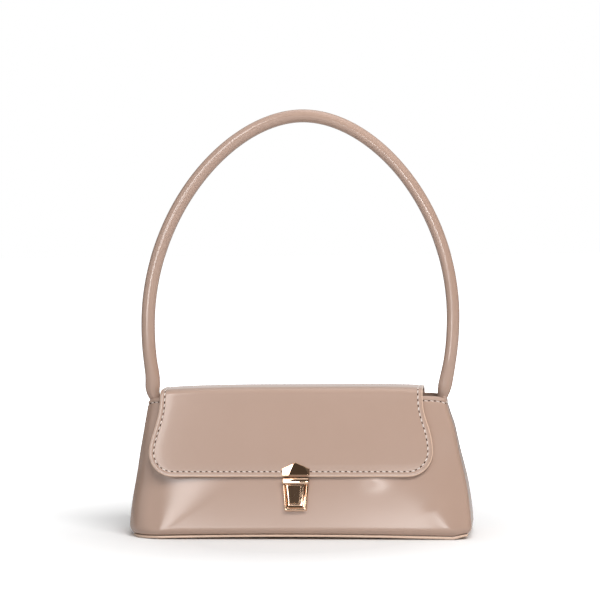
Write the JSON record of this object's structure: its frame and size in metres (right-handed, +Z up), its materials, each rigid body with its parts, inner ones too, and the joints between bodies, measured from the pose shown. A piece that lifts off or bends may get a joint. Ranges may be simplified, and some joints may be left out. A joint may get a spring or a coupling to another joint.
{
  "type": "handbag",
  "caption": "Small structured leather handbag that flares to a flat base, with a front flap, a metal press lock and a rolled top handle.",
  "frame": {"origin": "centre of the underside of the base, on the surface that the bag stands on", "axes": "+X to the right seen from the front, -Y out of the front with the lock, +Z up towards the handle"},
  "size_m": [0.2814, 0.0812, 0.3498],
  "materials": {
    "edge_leather": "pale painted leather edge",
    "leather": "smooth taupe leather with a soft sheen",
    "board": "pressed fibre board",
    "thread": "waxed sewing thread",
    "lining": "woven lining cloth",
    "rose_gold": "polished pale gold plating",
    "steel": "plain zinc plate",
    "core": "twisted cotton rope"
  },
  "bodies": {
    "body": {"base_panel": "edge_leather", "base_welt": "leather", "base_board": "board", "front_panel": "leather", "back_panel": "leather", "left_gusset": "leather", "right_gusset": "leather", "mouth_facing": "leather", "mouth_stitching": "thread", "front_lining": "lining", "back_lining": "lining", "left_lining": "lining", "right_lining": "lining", "base_lining": "lining", "slip_pocket": "lining", "left_handle_tab": "leather", "right_handle_tab": "leather", "flap_anchor": "leather", "anchor_stitching": "thread", "lock_plate": "rose_gold", "lock_bar": "rose_gold", "lock_housing": "steel", "lock_washer": "steel", "button_spring": "steel"},
    "flap_bridge": {"flap_bridge": "leather", "bridge_lining": "lining", "bridge_stitching": "thread"},
    "flap_front": {"flap_front": "leather", "flap_stiffener": "board", "flap_lining": "lining", "flap_stitching": "thread", "catch_plate": "rose_gold", "catch_hook": "rose_gold"},
    "handle": {"handle_cover": "leather", "handle_core": "core", "handle_stitching": "thread"},
    "button": {"push_button": "rose_gold", "button_latch": "steel"}
  },
  "joints": [
    {"name": "flap_hinge", "type": "hinge", "parent": "body", "child": "flap_bridge", "pos_m": [0, 0.02027, 0.11617], "axis": [-1, 0, 0], "range_deg": [0, 205]},
    {"name": "flap_fold", "type": "hinge", "parent": "flap_bridge", "child": "flap_front", "pos_m": [0, -0.01902, 0.11617], "axis": [-1, 0, 0], "range_deg": [0, 103.5]},
    {"name": "handle_swing", "type": "hinge", "parent": "body", "child": "handle", "pos_m": [0, 0, 0.112], "axis": [1, 0, 0], "range_deg": [-65, 65]},
    {"name": "button_press", "type": "slide", "parent": "body", "child": "button", "axis": [0, 0.9841, -0.1775], "range_m": [0, 0.002], "stiffness_N_per_m": 500, "springref_m": -0.002, "deforming": ["button_spring"]}
  ],
  "couplings": [
    {"joint": "flap_fold", "follows": "flap_hinge", "ratio": 0.5}
  ]
}
